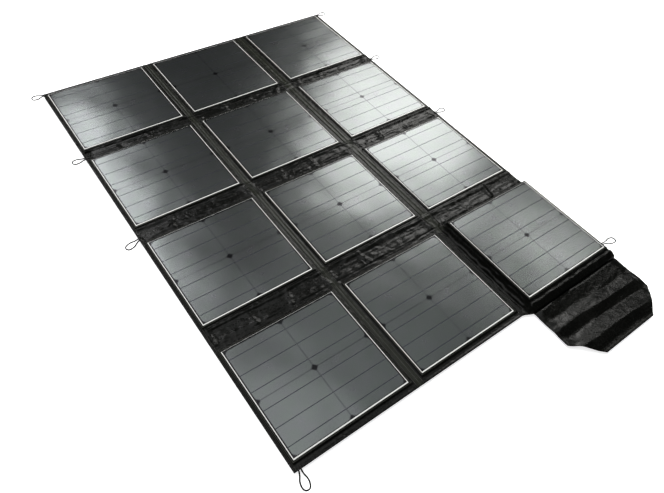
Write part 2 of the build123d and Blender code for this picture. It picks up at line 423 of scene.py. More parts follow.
def deselect():
    """Leaves edit mode with nothing selected."""
    if bpy.context.object and bpy.context.object.mode != "OBJECT":
        set_mode("OBJECT")
    bpy.ops.object.select_all(action="DESELECT")


def grid_lines(low, high, spacing, fixed=()):
    """Lines from low to high, no further apart than spacing, through the fixed ones."""
    stops = sorted({round(value, 6) for value in (low, high, *fixed) if low <= value <= high})
    lines = []
    for start, stop in zip(stops, stops[1:]):
        steps = max(1, math.ceil((stop - start) / spacing - 0.01))
        lines += [start + (stop - start) * k / steps for k in range(steps)]
    return lines + [stops[-1]]


def lip_lines(limits):
    """Grid lines over the lips on both sides of a window."""
    low, high = limits
    return [low - d for d in LIP_STEPS] + [high + d for d in LIP_STEPS]


def choose(mesh, edges=(), faces=()):
    """Selects parts of a mesh by number, and nothing else."""
    for parts, chosen in ((mesh.vertices, ()), (mesh.edges, edges), (mesh.polygons, faces)):
        flags = np.zeros(len(parts), bool)
        flags[list(chosen)] = True
        parts.foreach_set("select", flags)


def read_corners(mesh, across, along):
    """A new shell's corners, their columns and rows, and which are above."""
    corners = np.zeros(len(mesh.vertices) * 3)
    mesh.vertices.foreach_get("co", corners)
    corners = corners.reshape(-1, 3)
    column = np.rint((corners[:, 0] + 1) / 2 * across).astype(int)
    row = np.rint((corners[:, 1] + 1) / 2 * along).astype(int)
    return corners, column, row, corners[:, 2] > -0.5


def sew_shell(name, xs, ys, top, under, hole=None, place=None, seams=seam_at):
    """Two layers of cloth on one grid, joined round the edge.

    hole is the window that the upper layer leaves open, and place turns a
    grid corner's x and y into its place where the outline isn't a rectangle.
    """
    deselect()
    across, along = len(xs) - 1, len(ys) - 1
    bpy.ops.mesh.primitive_grid_add(
        x_subdivisions=across, y_subdivisions=along, size=2.0, location=(0, 0, 0)
    )
    piece = bpy.context.object
    piece.name = piece.data.name = name
    mesh = piece.data
    set_mode("EDIT")
    bpy.ops.mesh.select_all(action="SELECT")
    bpy.ops.mesh.duplicate()
    bpy.ops.transform.translate(value=(0, 0, -1))
    bpy.ops.mesh.flip_normals()
    set_mode("OBJECT")
    corners, column, row, upper = read_corners(mesh, across, along)

    if hole:
        x0, x1, y0, y1 = hole[:4]
        middles = []
        for face in mesh.polygons:
            spot = face.vertices
            if not upper[spot[0]]:
                continue
            x = sum(xs[column[v]] for v in spot) / 4
            y = sum(ys[row[v]] for v in spot) / 4
            if x0 < x < x1 and y0 < y < y1:
                middles.append(face.index)
        choose(mesh, faces=middles)
        set_mode("EDIT")
        bpy.context.tool_settings.mesh_select_mode = (False, False, True)
        bpy.ops.mesh.delete(type="FACE")
        set_mode("OBJECT")
        corners, column, row, upper = read_corners(mesh, across, along)

    # walls between the two outer edges
    uses = np.bincount([loop.edge_index for loop in mesh.loops], minlength=len(mesh.edges))
    outer = (column == 0) | (column == across) | (row == 0) | (row == along)
    rim = [
        edge.index
        for edge in mesh.edges
        if uses[edge.index] == 1 and outer[edge.vertices[0]] and outer[edge.vertices[1]]
    ]
    bpy.context.tool_settings.mesh_select_mode = (False, True, False)
    choose(mesh, edges=rim)
    set_mode("EDIT")
    bpy.ops.mesh.bridge_edge_loops()
    set_mode("OBJECT")

    places = np.zeros_like(corners)
    stitch = np.zeros_like(corners)
    for k in range(len(corners)):
        x, y = xs[column[k]], ys[row[k]]
        if place:
            x, y = place(x, y)
        places[k] = (x, y, (top if upper[k] else under)(x, y))
        # the third value marks the painted sheen strip down the middle of a column fold
        gets_painted_sheen = upper[k] and seams is seam_at
        stitch[k] = (*seams(x, y), painted_sheen_at(x, y) if gets_painted_sheen else 0.0)
    mesh.vertices.foreach_set("co", places.ravel())
    seam = mesh.attributes.new("seam", "FLOAT_VECTOR", "POINT")
    seam.data.foreach_set("vector", stitch.ravel())
    uv = mesh.uv_layers.active or mesh.uv_layers.new(name="cloth")
    uv.name = "cloth"
    flat = np.array([places[loop.vertex_index][:2] for loop in mesh.loops])
    uv.data.foreach_set("uv", flat.ravel())
    set_mode("EDIT")
    bpy.ops.mesh.select_all(action="SELECT")
    bpy.ops.mesh.normals_make_consistent(inside=False)
    set_mode("OBJECT")
    mesh.update()
    bpy.ops.object.shade_smooth_by_angle(angle=math.radians(65))
    return piece


def dress(piece, material):
    """Gives a piece its material."""
    piece.data.materials.clear()
    piece.data.materials.append(material)


# ------------------------------------------------------------------- materials
def group(name, inputs, outputs):
    """A new node group with named sockets, and its input and output nodes."""
    tree = bpy.data.node_groups.new(name, "ShaderNodeTree")
    for label, kind, default in inputs:
        kind = f"NodeSocket{kind}"
        socket = tree.interface.new_socket(name=label, in_out="INPUT", socket_type=kind)
        if default is not None:
            socket.default_value = default
    for label, kind in outputs:
        kind = f"NodeSocket{kind}"
        tree.interface.new_socket(name=label, in_out="OUTPUT", socket_type=kind)
    return tree, tree.nodes.new("NodeGroupInput"), tree.nodes.new("NodeGroupOutput")


def node(tree, kind, **settings):
    """A new shader node with some of its settings."""
    made = tree.nodes.new(f"ShaderNode{kind}")
    for key, value in settings.items():
        setattr(made, key, value)
    return made


def feed(made, **values):
    """Sets a node's named inputs to values, or links sockets to them."""
    for label, value in values.items():
        socket = made.inputs[label.replace("_", " ")]
        if isinstance(value, bpy.types.NodeSocket):
            made.id_data.links.new(value, socket)
        else:
            socket.default_value = value
    return made


def maths(tree):
    """A short call that adds a math node to the tree and returns its output."""

    def calc(operation, *values, clamp=False):
        made = node(tree, "Math", operation=operation, use_clamp=clamp)
        for socket, value in zip(made.inputs, values):
            if isinstance(value, (int, float)):
                socket.default_value = value
            else:
                tree.links.new(value, socket)
        return made.outputs[0]

    return calc


def split(tree, vector):
    """The three parts of a vector."""
    made = node(tree, "SeparateXYZ")
    tree.links.new(vector, made.inputs[0])
    return made.outputs


def mix_colour(tree, share, first, second):
    """A colour mix; each argument is a value or a socket."""
    made = node(tree, "Mix", data_type="RGBA")
    slots = (made.inputs[0], made.inputs[6], made.inputs[7])
    for socket, value in zip(slots, (share, first, second)):
        if isinstance(value, bpy.types.NodeSocket):
            tree.links.new(value, socket)
        else:
            socket.default_value = value
    return made.outputs[2]


def noise_node(tree, vector, scale, detail=2.0, roughness=0.5):
    """A noise texture on a vector; returns its value."""
    made = node(tree, "TexNoise", noise_dimensions="3D")
    feed(made, Scale=scale, Detail=detail, Roughness=roughness, Vector=vector)
    return made.outputs["Fac"]


def rgba(values):
    return (*values, 1.0)


def make_weave_group():
    """Plain weave: threads over and under, as a height and a mask."""
    tree, start, end = group(
        "Plain weave",
        [("Cloth", "Vector", None), ("Threads per metre", "Float", 1400.0)],
        [("Height", "Float"), ("Mask", "Float")],
    )
    calc = maths(tree)
    parts = split(tree, start.outputs["Cloth"])
    density = start.outputs["Threads per metre"]
    turns = [
        calc("SINE", calc("MULTIPLY", calc("MULTIPLY", parts[k], density), math.pi))
        for k in (0, 1)
    ]
    over = calc("MULTIPLY", turns[0], turns[1])
    mask = calc("MULTIPLY_ADD", over, 0.5, 0.5)
    feed(end, Mask=mask)
    height = calc("MULTIPLY", over, 0.000016)
    feed(end, Height=height)
    return tree


def make_crease_group():
    """Small creases of thin nylon, as a height in metres."""
    tree, start, end = group(
        "Fabric creases",
        [("Place", "Vector", None), ("Scale", "Float", 30.0), ("Depth", "Float", 0.0005)],
        [("Height", "Float")],
    )
    calc = maths(tree)
    warp = node(tree, "TexNoise")
    feed(warp, Scale=14.0, Vector=start.outputs["Place"])
    shift = node(tree, "VectorMath", operation="MULTIPLY_ADD")
    shift.inputs[1].default_value = (0.05, 0.05, 0.05)
    tree.links.new(warp.outputs["Color"], shift.inputs[0])
    tree.links.new(start.outputs["Place"], shift.inputs[2])
    fine = node(tree, "TexNoise")
    feed(fine, Detail=3.0, Roughness=0.45)
    feed(fine, Scale=start.outputs["Scale"], Vector=shift.outputs[0])
    centred = calc("SUBTRACT", fine.outputs["Fac"], 0.5)
    off = calc("MULTIPLY", calc("ABSOLUTE", centred), 4.0)
    ridge = calc("SUBTRACT", 1.0, off, clamp=True)
    sharp = calc("POWER", ridge, 2.0)
    feed(end, Height=calc("MULTIPLY", sharp, start.outputs["Depth"]))
    return tree


def make_stitch_group():
    """Dashes of thread along a seam, from the distance to it and the way along."""
    tree, start, end = group(
        "Lock stitch",
        [("Seam", "Vector", None), ("Stitch", "Float", 0.0042), ("Thread", "Float", 0.0007)],
        [("Mask", "Float"), ("Height", "Float")],
    )
    calc = maths(tree)
    parts = split(tree, start.outputs["Seam"])
    away = calc("DIVIDE", parts[0], start.outputs["Thread"])
    near = calc("SUBTRACT", 1.0, away, clamp=True)
    turns = calc("DIVIDE", parts[1], start.outputs["Stitch"])
    dash = calc("FRACT", turns)
    dash = calc("ABSOLUTE", calc("SUBTRACT", dash, 0.5))
    dash = calc("MULTIPLY", calc("SUBTRACT", 0.42, dash), 9.0, clamp=True)
    mask = calc("MULTIPLY", calc("MULTIPLY", near, 2.5, clamp=True), dash)
    feed(end, Mask=mask)
    feed(end, Height=calc("MULTIPLY", mask, 0.0004))
    return tree


def make_dust_group():
    """Light dust and handling marks, as a mask."""
    tree, start, end = group(
        "Dust and wear",
        [("Place", "Vector", None), ("Amount", "Float", None)],
        [("Mask", "Float")],
    )
    calc = maths(tree)
    broad = noise_node(tree, start.outputs["Place"], 7.0, 4.0, 0.6)
    fine = noise_node(tree, start.outputs["Place"], 160.0, 2.0, 0.6)
    both = calc("MULTIPLY", broad, fine)
    spread = calc("MULTIPLY", calc("SUBTRACT", both, 0.16), 4.0, clamp=True)
    feed(end, Mask=calc("MULTIPLY", spread, start.outputs["Amount"]))
    return tree


def make_film_group():
    """Satin front film: a slow bow over the panel and a fine dimpled grain."""
    tree, start, end = group(
        "Front film",
        [
            ("Centred", "Vector", None),
            ("Bow", "Float", 0.02),
            ("Dimples", "Float", 0.00002),
            ("Roughness", "Float", 0.27),
        ],
        [("Height", "Float"), ("Roughness", "Float"), ("Tone", "Float")],
    )
    calc = maths(tree)
    parts = split(tree, start.outputs["Centred"])
    squares = [calc("MULTIPLY", parts[k], parts[k]) for k in (0, 1)]
    dome = calc("MULTIPLY", calc("ADD", squares[0], squares[1]), -1.0)
    slow = noise_node(tree, start.outputs["Centred"], 5.5, 1.0, 0.4)
    bow = calc("MULTIPLY_ADD", dome, 2.2, calc("MULTIPLY", slow, 0.22))
    bow = calc("MULTIPLY", bow, start.outputs["Bow"])
    dimple = noise_node(tree, start.outputs["Centred"], 650.0, 1.0, 0.5)
    dimple = calc("MULTIPLY", dimple, start.outputs["Dimples"])
    feed(end, Height=calc("ADD", bow, dimple))
    mottled = noise_node(tree, start.outputs["Centred"], 26.0, 3.0, 0.55)
    patchy = calc("SUBTRACT", mottled, 0.5)
    rough = calc("MULTIPLY_ADD", patchy, 0.02, start.outputs["Roughness"])
    feed(end, Roughness=rough, Tone=mottled)
    return tree


# the printed face, out from the panel's middle
CELL_PITCH, CELL_MIDDLE, CELLS_END = 159 * MM, 79.5 * MM, 157 * MM
BAR_SPACING, BAR_HALF = 52 * MM, 1.0 * MM
CUT_CORNER = 9 * MM
BORDER_FROM, BORDER_SHIFT = 160.8 * MM, 1.3 * MM


def make_face_group():
    """The printed look of a panel face: busbars on cells, border on the board."""
    tree, start, end = group(
        "Panel face",
        [
            ("Centred", "Vector", None),
            *((c, "Color", None) for c in ("Cell", "Busbar", "Gap", "Board", "Border")),
            ("Tone", "Float", None),
        ],
        [
            ("Cell colour", "Color"),
            ("Board colour", "Color"),
            ("Line", "Float"),
            ("Border", "Float"),
            ("Board metal", "Float"),
        ],
    )
    calc = maths(tree)
    parts = split(tree, start.outputs["Centred"])
    x_far = calc("ABSOLUTE", parts[0])
    y_far = calc("ABSOLUTE", parts[1])
    in_cell = calc("ABSOLUTE", calc("SUBTRACT", y_far, CELL_MIDDLE))
    outer_bars = calc("ABSOLUTE", calc("SUBTRACT", in_cell, BAR_SPACING))
    nearest = calc("MINIMUM", in_cell, outer_bars)
    line = calc("LESS_THAN", nearest, BAR_HALF)
    reach = calc("MAXIMUM", x_far, y_far)
    # the printed line sits a little forward, so that the lip hides it at the back
    forward = calc("ABSOLUTE", calc("SUBTRACT", parts[1], BORDER_SHIFT))
    border = calc("GREATER_THAN", calc("MAXIMUM", x_far, forward), BORDER_FROM)
    # the cut corners leave a diamond at the centre and halves at the edges
    across = calc("MINIMUM", x_far, calc("SUBTRACT", CELL_PITCH, x_far))
    along = calc("MINIMUM", y_far, calc("SUBTRACT", CELL_PITCH, y_far))
    diamond = calc("LESS_THAN", calc("ADD", across, along), CUT_CORNER)
    inside = calc("LESS_THAN", reach, CELLS_END)
    closed = calc("MULTIPLY", inside, calc("SUBTRACT", 1.0, diamond))
    tint = mix_colour(tree, start.outputs["Tone"], (0.92, 1.02, 0.93, 1), (1.07, 0.99, 1.14, 1))
    tinted = node(tree, "Mix", data_type="RGBA", blend_type="MULTIPLY")
    tinted.inputs[0].default_value = 1.0
    tree.links.new(start.outputs["Cell"], tinted.inputs[6])
    tree.links.new(tint, tinted.inputs[7])
    cell = mix_colour(tree, line, tinted.outputs[2], start.outputs["Busbar"])
    between_cells = mix_colour(tree, closed, start.outputs["Board"], start.outputs["Gap"])
    board = mix_colour(tree, border, between_cells, start.outputs["Border"])
    metal = calc("MULTIPLY", calc("SUBTRACT", 1.0, border), 0.92)
    feed(end, Board_metal=metal, Cell_colour=cell, Board_colour=board, Line=line)
    feed(end, Border=border)
    return tree


def grouped(tree, name, **values):
    """A group node in a material, with its own values or links."""
    made = node(tree, "Group")
    made.node_tree = bpy.data.node_groups[name]
    return feed(made, **values)


def new_material(name):
    """An empty node material with its shader and output."""
    material = bpy.data.materials.new(name)
    material.use_nodes = True
    tree = material.node_tree
    tree.nodes.clear()
    shader = node(tree, "BsdfPrincipled")
    output = node(tree, "OutputMaterial")
    feed(output, Surface=shader.outputs[0])
    return material, tree, shader


def add_bump(tree, shader, height):
    """Feeds a height in metres to the shader's normal."""
    made = node(tree, "Bump")
    feed(made, Strength=1.0, Distance=1.0, Height=height)
    feed(shader, Normal=made.outputs[0])


def make_nylon():
    """Thin woven nylon, black and slightly glossy, with creases and stitches."""
    colours = bpy.context.scene.blanket_colours
    material, tree, shader = new_material("Woven nylon")
    calc = maths(tree)
    cloth = node(tree, "UVMap", uv_map="cloth").outputs[0]
    place = node(tree, "TexCoord").outputs["Object"]
    seam = node(tree, "Attribute", attribute_name="seam").outputs["Vector"]
    weave = grouped(tree, "Plain weave", Cloth=cloth)
    crease = grouped(tree, "Fabric creases", Place=place)
    stitch = grouped(tree, "Lock stitch", Seam=seam)
    parts = split(tree, seam)
    dust = grouped(tree, "Dust and wear", Place=place, Amount=0.16)
    worn = mix_colour(tree, dust.outputs["Mask"], rgba(colours.nylon), (0.02, 0.02, 0.018, 1))
    woven = mix_colour(
        tree,
        calc("MULTIPLY", weave.outputs["Mask"], 0.35),
        worn,
        rgba([c * 2.2 for c in colours.nylon]),
    )
    # painted sheen: a lighter strip down the middle of each column fold
    with_painted_sheen = mix_colour(tree, parts[2], woven, rgba(colours.painted_fold_sheen))
    sewn = mix_colour(tree, stitch.outputs["Mask"], with_painted_sheen, rgba(colours.thread))
    feed(shader, Base_Color=sewn)
    rough = calc("MULTIPLY_ADD", dust.outputs["Mask"], 0.8, 0.21)
    rough = calc("ADD", rough, calc("MULTIPLY", stitch.outputs["Mask"], 0.2))
    feed(shader, Roughness=rough)
    height = calc("ADD", weave.outputs["Height"], crease.outputs["Height"])
    height = calc("ADD", height, stitch.outputs["Height"])
    add_bump(tree, shader, height)
    feed(shader, Specular_IOR_Level=0.07)
    return material


def make_face(row, column, part):
    """The film over the cells, or over the board around them."""
    colours = bpy.context.scene.blanket_colours
    material, tree, shader = new_material(f"{part} r{row}c{column}")
    calc = maths(tree)
    x0, x1, y0, y1, _ = WINDOWS[row, column]
    place = node(tree, "TexCoord").outputs["Object"]
    centred = node(tree, "Mapping")
    feed(centred, Location=(-(x0 + x1) / 2, -(y0 + y1) / 2, 0), Vector=place)
    vector = centred.outputs[0]
    film = grouped(tree, "Front film", Centred=vector)
    face = grouped(
        tree, "Panel face", Centred=vector,
        Cell=rgba(colours.cell), Busbar=rgba(colours.busbar), Border=rgba(colours.border),
        Gap=rgba(colours.gap), Board=rgba(colours.board),
        Tone=film.outputs["Tone"],
    )
    dust = grouped(tree, "Dust and wear", Place=place, Amount=0.004)
    seen = face.outputs["Cell colour" if part == "Cells" else "Board colour"]
    dusty = mix_colour(tree, dust.outputs["Mask"], seen, (0.09, 0.09, 0.085, 1))
    feed(shader, Base_Color=dusty)
    if part == "Cells":
        feed(shader, Metallic=0.92)
    else:
        feed(shader, Metallic=face.outputs["Board metal"])
    mark = face.outputs["Line" if part == "Cells" else "Border"]
    rough = calc("MULTIPLY_ADD", mark, 0.16, film.outputs["Roughness"])
    feed(shader, Roughness=rough)
    add_bump(tree, shader, film.outputs["Height"])
    feed(shader, Specular_IOR_Level=0.4)
    return material


def make_cord():
    """Braided cord: short slanting strands all along it."""
    colours = bpy.context.scene.blanket_colours
    material, tree, shader = new_material("Braided cord")
    calc = maths(tree)
    place = node(tree, "TexCoord").outputs["Object"]
    weave = grouped(tree, "Plain weave", Cloth=place, Threads_per_metre=1600.0)
    dust = grouped(tree, "Dust and wear", Place=place, Amount=0.04)
    light = rgba([c * 3 for c in colours.cord])
    strands = mix_colour(tree, weave.outputs["Mask"], rgba(colours.cord), light)
    dusty = mix_colour(tree, dust.outputs["Mask"], strands, (0.2, 0.2, 0.19, 1))
    feed(shader, Base_Color=dusty)
    add_bump(tree, shader, calc("MULTIPLY", weave.outputs["Height"], 6.0))
    feed(shader, Roughness=0.6, Specular_IOR_Level=0.1)
    return material


def make_plastic(name, roughness):
    """Moulded plastic with a fine spark-eroded grain."""
    colours = bpy.context.scene.blanket_colours
    material, tree, shader = new_material(name)
    calc = maths(tree)
    place = node(tree, "TexCoord").outputs["Object"]
    dust = grouped(tree, "Dust and wear", Place=place, Amount=0.2)
    grainy = noise_node(tree, place, 900.0, 2.0, 0.6)
    plastic = rgba(colours.plastic)
    dusty = mix_colour(tree, dust.outputs["Mask"], plastic, (0.1, 0.1, 0.1, 1))
    feed(shader, Base_Color=dusty)
    feed(shader, Roughness=calc("MULTIPLY_ADD", grainy, 0.15, roughness))
    add_bump(tree, shader, calc("MULTIPLY", grainy, 0.00008))
    return material


def ensure_finishes():
    """Builds the shared node groups and materials once."""
    if "Plain weave" not in bpy.data.node_groups:
        make_weave_group()
        make_crease_group()
        make_stitch_group()
        make_dust_group()
        make_film_group()
        make_face_group()
    if "Woven nylon" not in bpy.data.materials:
        make_nylon()
        make_cord()
        make_plastic("Box plastic", 0.42)
        make_plastic("Port plastic", 0.35)


def nylon():
    ensure_finishes()
    return bpy.data.materials["Woven nylon"]


# ------------------------------------------------------------------- operators
class BLANKET_OT_sleeves(bpy.types.Operator):
    """Sew the twelve sleeves with their stitched lips"""

    bl_idname = "blanket.sleeves"
    bl_label = "Panel sleeves"

    def execute(self, context):
        spacing = context.scene.blanket_sizes.grain
        for row in ROWS:
            for column in COLUMNS:
                window = WINDOWS[row, column]
                x_low, x_high = CLOTH_X[column - 1]
                y_low, y_high = CLOTH_Y[row - 1]
                raised = (row, column) == (4, 3)
                if raised:
                    y_low = FLAP_FOLD
                fixed_x, fixed_y = lip_lines(window[:2]), lip_lines(window[2:4])
                if column == 1:
                    fixed_x += [LEFT + d for d in HEM_STEPS]
                if column == 3:
                    fixed_x += [RIGHT - d for d in (POUCH_STEPS if raised else HEM_STEPS)]
                if row == 1:
                    fixed_y += [BACK - d for d in HEM_STEPS]
                if row == 4 and not raised:
                    fixed_y += [FRONT + d for d in HEM_STEPS]
                xs = grid_lines(x_low, x_high, spacing, fixed_x)
                ys = grid_lines(y_low, window[2] + LIP_STEPS[0], 2.4 * MM, fixed_y)
                ys += grid_lines(window[2] - LIP_STEPS[0], window[3] + LIP_STEPS[0], 25 * MM)
                ys += grid_lines(window[3] - LIP_STEPS[0], y_high, 2.4 * MM, fixed_y)
                ys = sorted({round(y, 6) for y in ys})
                tag = f"r{row}c{column}"
                piece = sew_shell(
                    f"sleeve_cloth_{tag}", xs, ys, cloth_top, cloth_under, hole=window
                )
                dress(piece, nylon())
                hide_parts(f"sleeve_{tag}", *(["pouch"] if raised else []))
                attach(piece, f"panel_{tag}")
        return {"FINISHED"}


def apron_place(x, y):
    """Draws the strip beside the pouch forward, over to the apron's edge."""
    x_low, x_high = CLOTH_X[1][1], CLOTH_X[2][0]
    back = CLOTH_Y[3][1]
    front = FRONT + (FLAP_FOLD - FRONT) * smooth((x - x_low) / (x_high - x_low))
    return x, front + (y - FRONT) / (back - FRONT) * (back - front)


class BLANKET_OT_column_folds(bpy.types.Operator):
    """Sew the stitched tubes of cloth between the columns"""

    bl_idname = "blanket.column_folds"
    bl_label = "Column folds"

    def execute(self, context):
        for gap in (0, 1):
            x_low, x_high = CLOTH_X[gap][1], CLOTH_X[gap + 1][0]
            low, high = x_low - LIP + 6 * MM, x_high + LIP - 6 * MM
            channels = [low + (high - low) * line for line in CHANNELS]
            xs = grid_lines(x_low, x_high, 1.7 * MM, channels + [FOLD_X[gap]])
            strips = [(f"r{r}", f"panel_r{r}c{{}}", *CLOTH_Y[r - 1]) for r in ROWS]
            strips += [
                (f"fold_{k}", f"spine_{k}_c{{}}", near, far)
                for k, near, far in zip(ROW_FOLDS, FOLD_NEAR, FOLD_FAR)
            ]
            for tag, body, y_low, y_high in strips:
                beside_pouch = gap == 1 and tag == "r4"
                place = apron_place if beside_pouch else None
                ys = grid_lines(y_low, y_high, 4.5 * MM if y_high - y_low > 0.1 else 2.4 * MM)
                name = f"column_cloth_{gap + 1}{gap + 2}_{tag}"
                piece = sew_shell(name, xs, ys, cloth_top, cloth_under, place=place)
                dress(piece, nylon())
                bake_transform(piece)
        return {"FINISHED"}


class BLANKET_OT_row_folds(bpy.types.Operator):
    """Sew the puckered strips that go round the edge of the closed stack"""

    bl_idname = "blanket.row_folds"
    bl_label = "Row folds"

    def execute(self, context):
        spacing = context.scene.blanket_sizes.grain
        for k, near, far in zip(ROW_FOLDS, FOLD_NEAR, FOLD_FAR):
            for column in COLUMNS:
                x_low, x_high = CLOTH_X[column - 1]
                fixed = lip_lines(WINDOW_X[column - 1])
                if column == 1:
                    fixed += [LEFT + d for d in HEM_STEPS]
                if column == 3:
                    fixed += [RIGHT - d for d in HEM_STEPS]
                xs = grid_lines(x_low, x_high, spacing, fixed)
                ys = grid_lines(near, far, 2.2 * MM)
                piece = sew_shell(f"row_cloth_{k}_c{column}", xs, ys, cloth_top, cloth_under)
                dress(piece, nylon())
                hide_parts(f"spine_{k}_c{column}")
                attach(piece, f"spine_{k}_c{column}")
        return {"FINISHED"}


def flap_place(x, y):
    """Draws the flap's grid in along its chamfered front corners."""
    inset = max(0.0, FLAP_TIP + FLAP_CHAMFER - y)
    middle = (FLAP_LEFT + FLAP_RIGHT) / 2
    half = (FLAP_RIGHT - FLAP_LEFT) / 2
    return middle + (x - middle) * (half - inset) / half, y


class BLANKET_OT_flap(bpy.types.Operator):
    """Sew the loose closing flap in front of the raised panel"""

    bl_idname = "blanket.flap"
    bl_label = "Closing flap"

    def execute(self, context):
        rims = [FLAP_LEFT + 3 * MM, FLAP_RIGHT - 3 * MM]
        xs = grid_lines(FLAP_LEFT, FLAP_RIGHT, 4.5 * MM, rims)
        web_end = (FLAP_FOLD + WRAP_FOLD) / 2
        wrap_end = FLAP_FOLD - FLAP_VALLEY
        parts = (
            # name, back and front, first and second body, where the bend starts and ends
            (
                "flap_web", FLAP_FOLD, web_end, "panel_r4c3", "flap_web",
                FLAP_FOLD, FLAP_FOLD - 12 * MM,
            ),
            (
                "flap_wrap", web_end, wrap_end, "flap_web", "flap_cover",
                WRAP_FOLD + 10 * MM, WRAP_FOLD - 10 * MM,
            ),
            ("flap_cover", wrap_end, FLAP_TIP, None, "flap_cover", 0, 0),
        )
        for name, back, front, first, second, start, end in parts:
            ys = grid_lines(front, back, 3.5 * MM, [FLAP_TIP + d * MM for d in (1, 3, 7)])
            piece = sew_shell(
                f"{name}_cloth", xs, ys, flap_top, flap_under,
                place=flap_place, seams=flap_seam_at,
            )
            dress(piece, nylon())
            if name in NODES:
                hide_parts(name)
            if first:
                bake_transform(piece)
            else:
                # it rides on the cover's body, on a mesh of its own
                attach(piece, second)
                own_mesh(piece)
        return {"FINISHED"}


HEM_X = (LEFT + 8 * MM, RIGHT - 8 * MM)
LOOP_Z = 2.5 * MM
LOOP_Y = (BACK - 9 * MM, FOLD_NEAR[0] - 10 * MM, FOLD_NEAR[1] - 10 * MM)
LOOPS = [
    # name, body, x, y, z, heading, reach, width, length of cord
    ("loop_left_1", "panel_r1c1", HEM_X[0], LOOP_Y[0], LOOP_Z, 180, 0.044, 0.024, 0.104),
    ("loop_left_2", "panel_r2c1", HEM_X[0], LOOP_Y[1], LOOP_Z, 180, 0.046, 0.022, 0.105),
    ("loop_left_3", "panel_r3c1", HEM_X[0], LOOP_Y[2], LOOP_Z, 200, 0.052, 0.022, 0.117),
    (
        "loop_left_4", "panel_r4c1", HEM_X[0] + 8 * MM, FRONT + 8 * MM,
        LOOP_Z, 258, 0.056, 0.022, 0.124,
    ),
    ("loop_right_1", "panel_r1c3", HEM_X[1], LOOP_Y[0], LOOP_Z, 0, 0.044, 0.024, 0.104),
    ("loop_right_2", "panel_r2c3", HEM_X[1], LOOP_Y[1], LOOP_Z, 0, 0.046, 0.022, 0.105),
    ("loop_right_3", "panel_r3c3", HEM_X[1], LOOP_Y[2], LOOP_Z, 0, 0.046, 0.022, 0.105),
    (
        "loop_right_4", "panel_r4c3", HEM_X[1] + 1 * MM, RAISED[2] + 12 * MM,
        LOOP_Z + RAISE, -12, 0.048, 0.022, 0.109,
    ),
]


class BLANKET_OT_cord_loops(bpy.types.Operator):
    """Lay the eight cord loops that are sewn to the hem"""

    bl_idname = "blanket.cord_loops"
    bl_label = "Cord loops"

    def execute(self, context):
        ensure_finishes()
        diameter = context.scene.blanket_sizes.cord
        for name, body, x, y, z, heading, reach, width, length in LOOPS:
            deselect()
            bpy.ops.curve.primitive_nurbs_path_add(location=(0, 0, 0))
            piece = context.object
            piece.name = piece.data.name = f"cord_{name}"
            half, neck = width / 2, 2.6 * MM
            outline = [
                (0, neck),
                (reach * 0.30, neck),
                (reach * 0.62, half),
                (reach, half * 0.72),
                (reach, -half * 0.72),
                (reach * 0.62, -half),
                (reach * 0.30, -neck),
                (0, -neck),
            ]
            turn = Matrix.Rotation(math.radians(heading), 3, "Z")
            points = [Vector((x, y, z)) + turn @ Vector((a, b, 0)) for a, b in outline]
            spline = piece.data.splines[0]
            spline.points.add(len(points) - len(spline.points))
            for point, place in zip(spline.points, points):
                point.co = (*place, 1.0)
            spline.order_u = 3
            spline.use_endpoint_u = True
            piece.data.bevel_depth = diameter / 2
            piece.data.bevel_resolution = 4
            piece.data.resolution_u = 10
            piece.data.use_fill_caps = True
            piece.data.materials.append(bpy.data.materials["Braided cord"])
            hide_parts(name)
            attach(piece, body)
        return {"FINISHED"}


class BLANKET_OT_panel_faces(bpy.types.Operator):
    """Finish the laminates and cells under their satin film"""

    bl_idname = "blanket.panel_faces"
    bl_label = "Panel faces"

    def execute(self, context):
        ensure_finishes()
        for row in ROWS:
            for column in COLUMNS:
                tag = f"r{row}c{column}"
                for stem, part in (("cells", "Cells"), ("laminate", "Board")):
                    piece = NODES[f"{stem}_{tag}"]
                    material = make_face(row, column, part)
                    piece.data.materials.clear()
                    piece.data.materials.append(material)
        return {"FINISHED"}


class BLANKET_OT_fittings(bpy.types.Operator):
    """Finish the junction box and its output port"""

    bl_idname = "blanket.fittings"
    bl_label = "Pouch fittings"

    def execute(self, context):
        ensure_finishes()
        finishes = {
            "junction_box": "Box plastic",
            "junction_box_lid": "Box plastic",
            "output_port": "Port plastic",
            "output_port_cap": "Port plastic",
        }
        for name, finish in finishes.items():
            NODES[name].data.materials.clear()
            NODES[name].data.materials.append(bpy.data.materials[finish])
        return {"FINISHED"}


CAMERA_PLACE = Vector((-0.2391, -0.42465, 1.2948))  # from the front left corner
CAMERA_ANGLES = (-43.808, 49.871, 8.029)  # azimuth, height and roll in degrees
CAMERA_LENS, CAMERA_SHIFT = 32.28, (-0.0714, 0.0098)
SOFT_LIGHTS = [
    # name, place from the front left corner, aimed at, width, length, radiance, colour
    ("window_right", (2.89, 2.79, 2.2), (0.84, 0.74, 0.0), 1.5, 1.45, 15.0, (1.0, 0.99, 0.96)),
    ("window_side", (2.89, 1.30, 2.2), (0.84, 0.44, 0.0), 1.3, 0.9, 1.1, (0.98, 1.0, 0.97)),
    ("window_front", (2.95, 0.73, 2.2), (0.84, 0.24, 0.0), 1.3, 0.24, 19.0, (1.0, 0.99, 0.95)),
    ("strip_left", (0.237, 2.49, 1.6), (0.14, 0.94, 0.0), 0.16, 1.45, 24.0, (1.0, 1.0, 1.0)),
    ("ceiling", (1.09, 0.74, 2.2), (0.54, 0.24, 0.0), 1.6, 1.3, 0.75, (0.93, 1.0, 0.97)),
]


